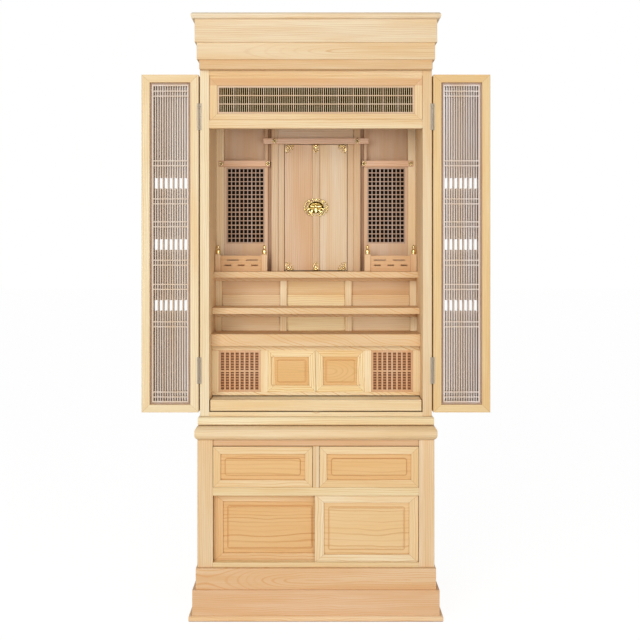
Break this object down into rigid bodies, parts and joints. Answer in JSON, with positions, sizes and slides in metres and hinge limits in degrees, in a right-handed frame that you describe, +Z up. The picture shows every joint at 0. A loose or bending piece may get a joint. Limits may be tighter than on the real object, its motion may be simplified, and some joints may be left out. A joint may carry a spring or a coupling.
{
  "type": "shinto ancestral altar",
  "caption": "Tall pale cypress cabinet altar with folded-back lattice doors, a panelled inner shrine, stepped decks, drawers and sliding doors.",
  "frame": {"origin": "centre of the whole object's footprint box, on the floor under the plinth", "axes": "+Z up; the front faces -Y; +X to the right seen from the front"},
  "size_m": [0.9624, 0.56, 1.65],
  "materials": {
    "case_cypress": "planed cypress, bare",
    "inner_cypress": "planed cypress, bare, pinker",
    "panel_cypress": "flat-sawn cypress panel, bare",
    "gilt_brass": "polished gilt brass",
    "hinge_metal": "pale satin metal"
  },
  "bodies": {
    "altar_case": {"plinth": "case_cypress", "base_posts": "case_cypress", "base_rails": "case_cypress", "base_shelves": "inner_cypress", "drawer_divider": "case_cypress", "side_panels": "case_cypress", "back_panels": "inner_cypress", "waist_moulding": "case_cypress", "cabinet_stiles": "case_cypress", "shelf_frame": "case_cypress", "transom_frame": "case_cypress", "transom_lattice": "case_cypress", "cornice": "case_cypress", "top_board": "case_cypress", "folding_door_frames": "case_cypress", "left_door_lattices": "case_cypress", "right_door_lattices": "case_cypress", "door_hinges": "hinge_metal", "altar_deck": "inner_cypress", "step_boards": "inner_cypress", "niche_floor": "inner_cypress", "step_posts": "inner_cypress", "riser_panels": "inner_cypress", "niche_lattices": "inner_cypress", "niche_panels": "panel_cypress", "shrine_posts": "inner_cypress", "shrine_walls": "inner_cypress", "nageshi_rails": "inner_cypress", "stud_covers": "gilt_brass", "wing_walls": "inner_cypress", "wing_lattices": "inner_cypress", "wing_railings": "panel_cypress", "railing_caps": "gilt_brass"},
    "shrine_door_right": {"shrine_door_right": "panel_cypress", "door_batten": "inner_cypress", "shrine_fittings_right": "gilt_brass"},
    "shrine_door_left": {"shrine_door_left": "panel_cypress", "shrine_fittings_left": "gilt_brass"},
    "drawer_left": {"drawer_left": "panel_cypress"},
    "drawer_right": {"drawer_right": "panel_cypress"},
    "sliding_door_left": {"sliding_door_left": "panel_cypress"},
    "sliding_door_right": {"sliding_door_right": "panel_cypress"},
    "pull_out_shelf": {"pull_out_shelf": "case_cypress"}
  },
  "joints": [
    {"name": "shrine_door_right_hinge", "type": "hinge", "parent": "altar_case", "child": "shrine_door_right", "pos_m": [0.0861, 0.0158, 1.13], "axis": [0, 0, 1], "range_deg": [0, 100]},
    {"name": "shrine_door_left_hinge", "type": "hinge", "parent": "altar_case", "child": "shrine_door_left", "pos_m": [-0.0861, 0.0158, 1.13], "axis": [0, 0, 1], "range_deg": [-100, 0]},
    {"name": "drawer_left_slide", "type": "slide", "parent": "altar_case", "child": "drawer_left", "axis": [0, -1, 0], "range_m": [0, 0.28]},
    {"name": "drawer_right_slide", "type": "slide", "parent": "altar_case", "child": "drawer_right", "axis": [0, -1, 0], "range_m": [0, 0.28]},
    {"name": "sliding_door_left_slide", "type": "slide", "parent": "altar_case", "child": "sliding_door_left", "axis": [1, 0, 0], "range_m": [0, 0.245]},
    {"name": "sliding_door_right_slide", "type": "slide", "parent": "altar_case", "child": "sliding_door_right", "axis": [-1, 0, 0], "range_m": [0, 0.27]},
    {"name": "shelf_slide", "type": "slide", "parent": "altar_case", "child": "pull_out_shelf", "axis": [0, -1, 0], "range_m": [0, 0.2]}
  ],
  "couplings": [
    {"joint": "shrine_door_left_hinge", "follows": "shrine_door_right_hinge", "ratio": -1}
  ]
}
